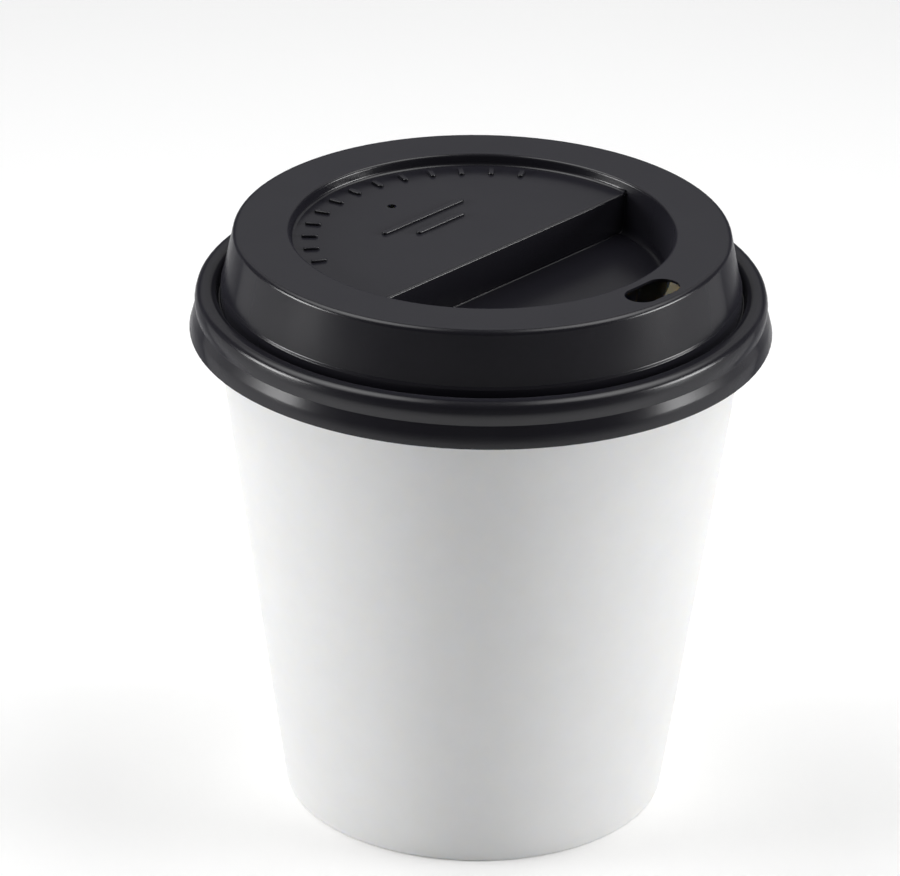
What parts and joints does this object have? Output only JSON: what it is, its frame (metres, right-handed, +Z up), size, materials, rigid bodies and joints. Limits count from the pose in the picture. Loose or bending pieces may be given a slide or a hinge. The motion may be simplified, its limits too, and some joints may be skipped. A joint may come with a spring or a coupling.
{
  "type": "paper coffee cup",
  "caption": "Tapered white paper hot cup with a rolled rim, lapped side seam and folded foot, under a black press-on domed lid with a sip hole, vent and stepped drinking well.",
  "frame": {"origin": "centre of the foot's ring, on the surface that the cup stands on", "axes": "+Z up along the cup's axis, -Y towards the sip hole"},
  "size_m": [0.0926, 0.0926, 0.0972],
  "materials": {
    "paperboard": "smooth matt white",
    "lid_plastic": "satin black"
  },
  "bodies": {
    "cup": {"cup_sidewall": "paperboard", "cup_bottom": "paperboard"},
    "lid": {"lid": "lid_plastic"}
  },
  "joints": [
    {"name": "lid_lift", "type": "slide", "parent": "cup", "child": "lid", "axis": [0, 0, 1], "range_m": [0, 0.06]}
  ]
}
